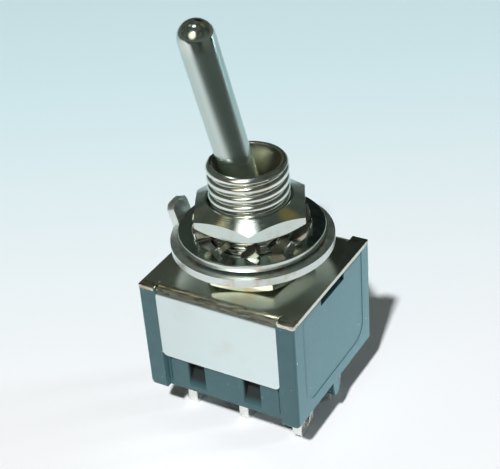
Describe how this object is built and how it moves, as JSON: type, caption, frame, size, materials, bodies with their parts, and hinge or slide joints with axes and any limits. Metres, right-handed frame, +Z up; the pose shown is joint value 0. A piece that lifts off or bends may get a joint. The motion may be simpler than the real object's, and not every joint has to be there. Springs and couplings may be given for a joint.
{
  "type": "miniature toggle switch",
  "caption": "Miniature two-pole changeover toggle switch with a threaded bushing, nuts, lock washer, locating ring and solder lugs.",
  "frame": {"origin": "on the bushing's axis at the plate's top face", "axes": "+Z up the bushing; the lever swings along X and leans to -X at rest; the two poles lie at -Y and +Y"},
  "size_m": [0.0132, 0.0122, 0.0318],
  "materials": {
    "case": "moulded thermoset, satin, dark grey-green",
    "frame_plate": "bright nickel plate on steel sheet",
    "bushing_metal": "bright nickel plate on turned brass",
    "lever_metal": "satin nickel plate on turned brass, polished at the tip",
    "pin_steel": "plain ground steel",
    "spring_steel": "spring wire",
    "white_plastic": "natural acetal, satin",
    "contact_metal": "silver plate on brass",
    "lug_metal": "bright tin plate on brass",
    "resin": "dark potting resin, glossy",
    "nut_metal": "bright nickel plate",
    "washer_steel": "bright nickel plate on stamped steel"
  },
  "bodies": {
    "switch_body": {"case": "case", "cover_frame": "frame_plate", "bushing": "bushing_metal", "seal_front": "resin", "seal_rear": "resin", "hex_nuts": "nut_metal", "locating_ring": "washer_steel", "lock_washer": "washer_steel", "terminal_front_left": "lug_metal", "terminal_front_centre": "lug_metal", "terminal_front_right": "lug_metal", "terminal_rear_left": "lug_metal", "terminal_rear_centre": "lug_metal", "terminal_rear_right": "lug_metal"},
    "lever_body": {"lever": "lever_metal", "pivot_pin": "pin_steel", "lever_spring": "spring_steel"},
    "plunger_body": {"plunger": "white_plastic"},
    "rocker_body": {"rocker": "white_plastic", "contact_blade_front": "contact_metal", "contact_blade_rear": "contact_metal"}
  },
  "joints": [
    {"name": "lever_swing", "type": "hinge", "parent": "switch_body", "child": "lever_body", "pos_m": [0, 0, 0.00455], "axis": [0, 1, 0], "range_deg": [0, 28.2]},
    {"name": "plunger_slide", "type": "slide", "parent": "lever_body", "child": "plunger_body", "axis": [-0.2436, 0, 0.9699], "range_m": [0, 0.0005], "stiffness_N_per_m": 300, "deforming": ["lever_spring"]},
    {"name": "rocker_tilt", "type": "hinge", "parent": "switch_body", "child": "rocker_body", "pos_m": [0, 0, -0.00563], "axis": [0, 1, 0], "range_deg": [-16, 0]}
  ],
  "couplings": [
    {"joint": "rocker_tilt", "follows": "lever_swing", "ratio": -0.56738}
  ]
}
